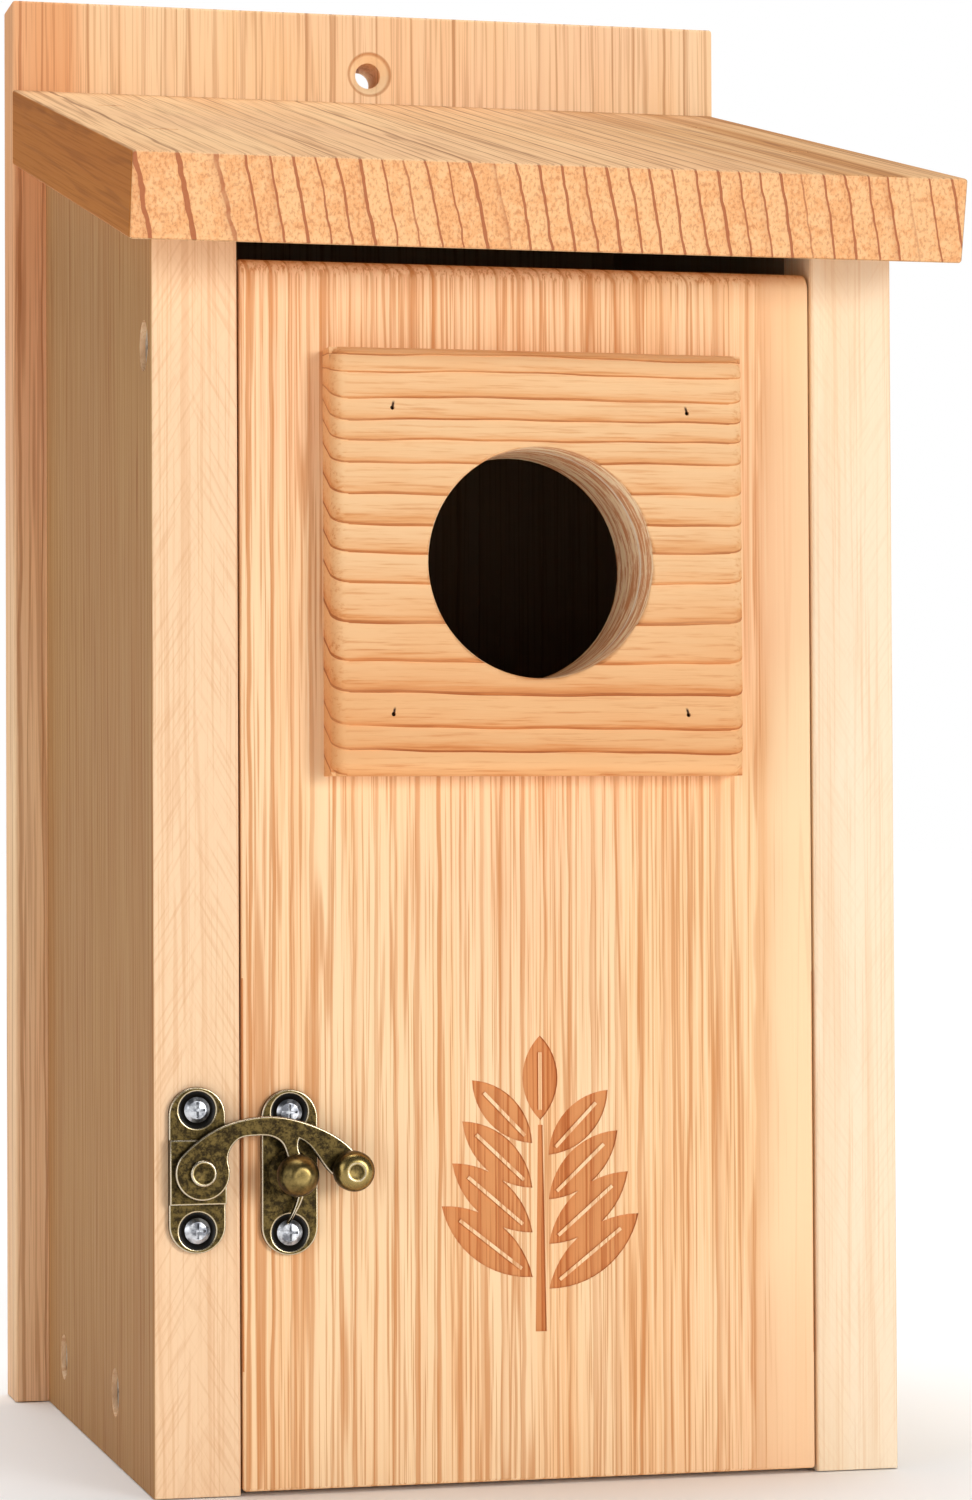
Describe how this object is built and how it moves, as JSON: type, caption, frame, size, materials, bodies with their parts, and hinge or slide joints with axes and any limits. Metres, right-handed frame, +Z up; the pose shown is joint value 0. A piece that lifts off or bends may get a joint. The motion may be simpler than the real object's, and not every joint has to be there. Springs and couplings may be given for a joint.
{
  "type": "nest box",
  "caption": "Wooden nest box with a sloping roof, a pivoting front with a round entrance and guard plate, a tall back board for hanging and a brass swing-hook latch.",
  "frame": {"origin": "middle of the underside of the whole box, roof and back board included", "axes": "+X to the right seen from the front, +Y to the back, +Z up; the entrance looks along -Y"},
  "size_m": [0.1396, 0.1578, 0.2675],
  "materials": {
    "cedar_back_board": "unfinished sawn softwood",
    "cedar_left_side": "unfinished sawn softwood",
    "cedar_right_side": "unfinished sawn softwood",
    "cedar_floor": "unfinished sawn softwood",
    "cedar_roof": "unfinished sawn softwood",
    "cedar_front_panel": "unfinished sawn softwood",
    "cedar_guard": "unfinished sawn softwood",
    "aged_brass": "darkened, worn bright at the edges",
    "zinc_steel": "zinc plated",
    "bright_steel": "nickel plated",
    "dull_steel": "darkened by weather"
  },
  "bodies": {
    "case": {"back_board": "cedar_back_board", "left_side": "cedar_left_side", "right_side": "cedar_right_side", "floor": "cedar_floor", "roof": "cedar_roof", "back_screw_left_1": "zinc_steel", "back_screw_left_2": "zinc_steel", "back_screw_left_3": "zinc_steel", "back_screw_right_1": "zinc_steel", "back_screw_right_2": "zinc_steel", "back_screw_right_3": "zinc_steel", "back_screw_floor": "zinc_steel", "floor_screw_left_front": "zinc_steel", "floor_screw_left_rear": "zinc_steel", "floor_screw_right_front": "zinc_steel", "floor_screw_right_rear": "zinc_steel", "pivot_screw_left": "zinc_steel", "pivot_screw_right": "zinc_steel", "roof_staple_left_1": "zinc_steel", "roof_staple_left_2": "zinc_steel", "roof_staple_right_1": "zinc_steel", "roof_staple_right_2": "zinc_steel", "latch_base": "aged_brass", "latch_rivet": "aged_brass", "latch_base_screw_lower": "bright_steel", "latch_base_screw_upper": "bright_steel"},
    "front": {"front_panel": "cedar_front_panel", "hole_guard": "cedar_guard", "guard_brad_lower_left": "dull_steel", "guard_brad_lower_right": "dull_steel", "guard_brad_upper_left": "dull_steel", "guard_brad_upper_right": "dull_steel", "keeper_plate": "aged_brass", "keeper_post": "aged_brass", "keeper_screw_lower": "bright_steel", "keeper_screw_upper": "bright_steel"},
    "hook": {"hook_arm": "aged_brass", "hook_knob": "aged_brass"}
  },
  "joints": [
    {"name": "front_pivot", "type": "hinge", "parent": "case", "child": "front", "pos_m": [0, -0.0506, 0.1878], "axis": [-1, 0, 0], "range_deg": [0, 85]},
    {"name": "hook_pivot", "type": "hinge", "parent": "case", "child": "hook", "pos_m": [-0.056, -0.06105, 0.05275], "axis": [0, -1, 0], "range_deg": [0, 270]}
  ]
}
